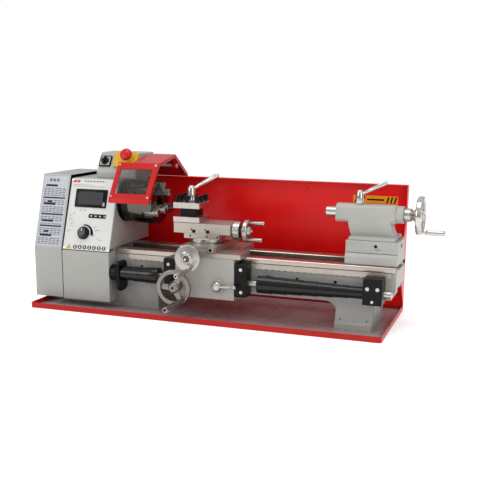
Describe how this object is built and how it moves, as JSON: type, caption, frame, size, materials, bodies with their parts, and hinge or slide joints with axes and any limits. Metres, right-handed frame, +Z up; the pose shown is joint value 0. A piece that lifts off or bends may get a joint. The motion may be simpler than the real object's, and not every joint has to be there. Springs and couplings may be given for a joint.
{
  "type": "metal lathe",
  "caption": "Bench metal lathe: grey bed and headstock with jaw chuck under a red guard, carriage with handwheels, tailstock, red chip tray and splash guard.",
  "frame": {"origin": "centre of the chip tray's underside", "axes": "+X towards the tailstock, +Y towards the splash guard, +Z up"},
  "size_m": [0.975, 0.4013, 0.3811],
  "materials": {
    "red_enamel": "semi-gloss red enamel",
    "grey_enamel": "smooth grey enamel",
    "light_enamel": "light grey enamel",
    "black_plastic": "satin black",
    "ground_steel": "turned or ground bright steel",
    "ground_iron": "ground cast iron",
    "dark_steel": "dark painted steel",
    "polished_steel": "polished",
    "turned_alu": "turned aluminium",
    "bronze": "cast bronze",
    "yellow_plastic": "yellow plastic",
    "red_plastic": "red plastic",
    "window": "clear plastic window",
    "dark_glass": "dark display glass",
    "belt_rubber": "ribbed belt"
  },
  "bodies": {
    "base": {"chip_tray": "red_enamel", "splash_guard": "red_enamel", "bed": "grey_enamel", "rack": "dark_steel", "headstock_casting": "grey_enamel", "lower_front_cover": "light_enamel", "gear_cover": "grey_enamel", "control_panel": "light_enamel", "display": "dark_glass", "bearing_front": "ground_steel", "bearing_rear": "ground_steel", "drive_motor": "dark_steel", "drive_belt": "belt_rubber", "banjo": "dark_steel", "switch_box": "grey_enamel", "estop_housing": "yellow_plastic", "lead_screw_plate": "black_plastic", "lead_screw_bracket": "dark_steel", "screw_cover_left": "black_plastic", "screw_cover_right": "black_plastic"},
    "speed_knob": {"speed_knob": "black_plastic"},
    "rotary_switch": {"rotary_switch": "black_plastic"},
    "estop_button": {"estop_button": "red_plastic"},
    "guard": {"guard_sheet": "red_enamel", "guard_window": "window"},
    "spindle": {"spindle": "ground_steel", "chuck_backplate": "ground_iron", "chuck_body": "polished_steel"},
    "jaw_1": {"jaw_1": "ground_steel"},
    "jaw_2": {"jaw_2": "ground_steel"},
    "jaw_3": {"jaw_3": "ground_steel"},
    "motor_rotor": {"motor_pulley": "ground_steel"},
    "idler_upper": {"idler_gear_upper": "ground_steel"},
    "idler_lower": {"idler_gear_lower": "ground_steel"},
    "lead_screw": {"lead_screw": "ground_steel"},
    "carriage": {"saddle": "ground_iron", "apron": "grey_enamel", "cover_bracket_right": "black_plastic", "cover_bracket_left": "black_plastic"},
    "apron_wheel": {"apron_wheel": "turned_alu"},
    "rack_pinion": {"rack_pinion": "ground_steel"},
    "half_nut_lever": {"half_nut_lever": "turned_alu"},
    "half_nut_upper": {"half_nut_upper": "bronze"},
    "half_nut_lower": {"half_nut_lower": "bronze"},
    "cross_slide": {"cross_slide": "ground_iron"},
    "cross_feed": {"cross_screw": "ground_steel", "cross_wheel": "turned_alu"},
    "swivel": {"swivel_base": "ground_iron"},
    "top_slide": {"top_slide": "ground_iron"},
    "top_feed": {"top_screw": "ground_steel", "top_wheel": "turned_alu"},
    "tool_post": {"tool_post": "ground_steel"},
    "tool_lever": {"tool_lever": "polished_steel"},
    "tailstock": {"tailstock_base": "grey_enamel", "tailstock_body": "grey_enamel", "tailstock_clamp": "dark_steel"},
    "quill": {"quill": "polished_steel"},
    "quill_feed": {"quill_screw": "ground_steel", "tail_wheel": "polished_steel"},
    "quill_lever": {"quill_lever": "polished_steel"}
  },
  "joints": [
    {"name": "spindle_spin", "type": "hinge", "parent": "base", "child": "spindle", "pos_m": [-0.23, -0.005, 0.254], "axis": [1, 0, 0], "continuous": true},
    {"name": "jaw_1_slide", "type": "slide", "parent": "spindle", "child": "jaw_1", "axis": [0, 0, 1], "range_m": [-0.006, 0.003]},
    {"name": "jaw_2_slide", "type": "slide", "parent": "spindle", "child": "jaw_2", "axis": [0, -0.866, -0.5], "range_m": [-0.006, 0.003]},
    {"name": "jaw_3_slide", "type": "slide", "parent": "spindle", "child": "jaw_3", "axis": [0, 0.866, -0.5], "range_m": [-0.006, 0.003]},
    {"name": "motor_spin", "type": "hinge", "parent": "base", "child": "motor_rotor", "pos_m": [-0.37, 0.097, 0.085], "axis": [1, 0, 0], "continuous": true},
    {"name": "idler_upper_spin", "type": "hinge", "parent": "base", "child": "idler_upper", "pos_m": [-0.406, -0.0319, 0.1981], "axis": [1, 0, 0], "continuous": true},
    {"name": "idler_lower_spin", "type": "hinge", "parent": "base", "child": "idler_lower", "pos_m": [-0.406, -0.0645, 0.1305], "axis": [1, 0, 0], "continuous": true},
    {"name": "lead_screw_turn", "type": "hinge", "parent": "base", "child": "lead_screw", "pos_m": [0, -0.084, 0.09], "axis": [1, 0, 0], "continuous": true},
    {"name": "speed_knob_turn", "type": "hinge", "parent": "base", "child": "speed_knob", "pos_m": [-0.311, -0.08593, 0.18075], "axis": [0, 0.9464, -0.323], "range_deg": [0, 270]},
    {"name": "rotary_switch_turn", "type": "hinge", "parent": "base", "child": "rotary_switch", "pos_m": [-0.293, 0.00075, 0.34753], "axis": [0, 0.851, -0.5251], "range_deg": [-60, 60]},
    {"name": "estop_press", "type": "slide", "parent": "base", "child": "estop_button", "axis": [0, 0.851, -0.5251], "range_m": [0, 0.003], "stiffness_N_per_m": 1500, "springref_m": -0.0005},
    {"name": "guard_swing", "type": "hinge", "parent": "base", "child": "guard", "pos_m": [-0.166, 0.074, 0.338], "axis": [-1, 0, 0], "range_deg": [0, 62]},
    {"name": "carriage_travel", "type": "slide", "parent": "base", "child": "carriage", "axis": [1, 0, 0], "range_m": [-0.004, 0.14], "deforming": ["screw_cover_right", "screw_cover_left"]},
    {"name": "rack_pinion_turn", "type": "hinge", "parent": "carriage", "child": "rack_pinion", "pos_m": [-0.02, -0.08, 0.1105], "axis": [0, 1, 0], "range_deg": [-930, 60]},
    {"name": "apron_wheel_turn", "type": "hinge", "parent": "carriage", "child": "apron_wheel", "pos_m": [-0.049, -0.14, 0.08], "axis": [0, 1, 0], "range_deg": [-180, 3900]},
    {"name": "half_nut_upper_slide", "type": "slide", "parent": "carriage", "child": "half_nut_upper", "axis": [0, 0, 1], "range_m": [0, 0.004]},
    {"name": "half_nut_lower_slide", "type": "slide", "parent": "carriage", "child": "half_nut_lower", "axis": [0, 0, -1], "range_m": [0, 0.0042]},
    {"name": "half_nut_lever_turn", "type": "hinge", "parent": "carriage", "child": "half_nut_lever", "pos_m": [0.043, -0.112, 0.082], "axis": [0, 1, 0], "range_deg": [-42, 2]},
    {"name": "cross_travel", "type": "slide", "parent": "carriage", "child": "cross_slide", "axis": [0, 1, 0], "range_m": [-0.011, 0.034]},
    {"name": "cross_wheel_turn", "type": "hinge", "parent": "carriage", "child": "cross_feed", "pos_m": [-0.014, -0.14, 0.15], "axis": [0, 1, 0], "range_deg": [-2100, 6300]},
    {"name": "compound_swivel", "type": "hinge", "parent": "cross_slide", "child": "swivel", "pos_m": [-0.016, -0.02, 0.181], "axis": [0, 0, 1], "range_deg": [-45, 45]},
    {"name": "top_travel", "type": "slide", "parent": "swivel", "child": "top_slide", "axis": [1, 0, 0], "range_m": [-0.005, 0.03]},
    {"name": "top_wheel_turn", "type": "hinge", "parent": "top_slide", "child": "top_feed", "pos_m": [0.088, -0.032, 0.201], "axis": [1, 0, 0], "range_deg": [-960, 5500]},
    {"name": "tool_post_index", "type": "hinge", "parent": "top_slide", "child": "tool_post", "pos_m": [-0.056, -0.02, 0.24], "axis": [0, 0, 1], "range_deg": [-180, 180]},
    {"name": "tool_lever_turn", "type": "hinge", "parent": "top_slide", "child": "tool_lever", "pos_m": [-0.056, -0.02, 0.28], "axis": [0, 0, 1], "range_deg": [-100, 20]},
    {"name": "tailstock_travel", "type": "slide", "parent": "base", "child": "tailstock", "axis": [1, 0, 0], "range_m": [-0.08, 0]},
    {"name": "quill_travel", "type": "slide", "parent": "tailstock", "child": "quill", "axis": [-1, 0, 0], "range_m": [-0.009, 0.05]},
    {"name": "tail_wheel_turn", "type": "hinge", "parent": "tailstock", "child": "quill_feed", "pos_m": [0.478, -0.005, 0.254], "axis": [1, 0, 0], "range_deg": [-1700, 9100]},
    {"name": "quill_lever_turn", "type": "hinge", "parent": "tailstock", "child": "quill_lever", "pos_m": [0.343, -0.005, 0.29], "axis": [0, 0, 1], "range_deg": [-60, 60]}
  ],
  "couplings": [
    {"joint": "jaw_2_slide", "follows": "jaw_1_slide", "ratio": 1},
    {"joint": "jaw_3_slide", "follows": "jaw_1_slide", "ratio": 1},
    {"joint": "motor_spin", "follows": "spindle_spin", "ratio": 2.125},
    {"joint": "idler_upper_spin", "follows": "spindle_spin", "ratio": -0.40503},
    {"joint": "idler_lower_spin", "follows": "spindle_spin", "ratio": 0.57843},
    {"joint": "lead_screw_turn", "follows": "spindle_spin", "ratio": -1.3015},
    {"joint": "rack_pinion_turn", "follows": "carriage_travel", "rad_per_m": -111.11},
    {"joint": "apron_wheel_turn", "follows": "carriage_travel", "rad_per_m": 482.91},
    {"joint": "half_nut_lower_slide", "follows": "half_nut_upper_slide", "ratio": 1},
    {"joint": "half_nut_lever_turn", "follows": "half_nut_upper_slide", "rad_per_m": -174.53},
    {"joint": "cross_wheel_turn", "follows": "cross_travel", "rad_per_m": 3141.6},
    {"joint": "top_wheel_turn", "follows": "top_travel", "rad_per_m": 3141.6},
    {"joint": "tail_wheel_turn", "follows": "quill_travel", "rad_per_m": 3141.6}
  ]
}
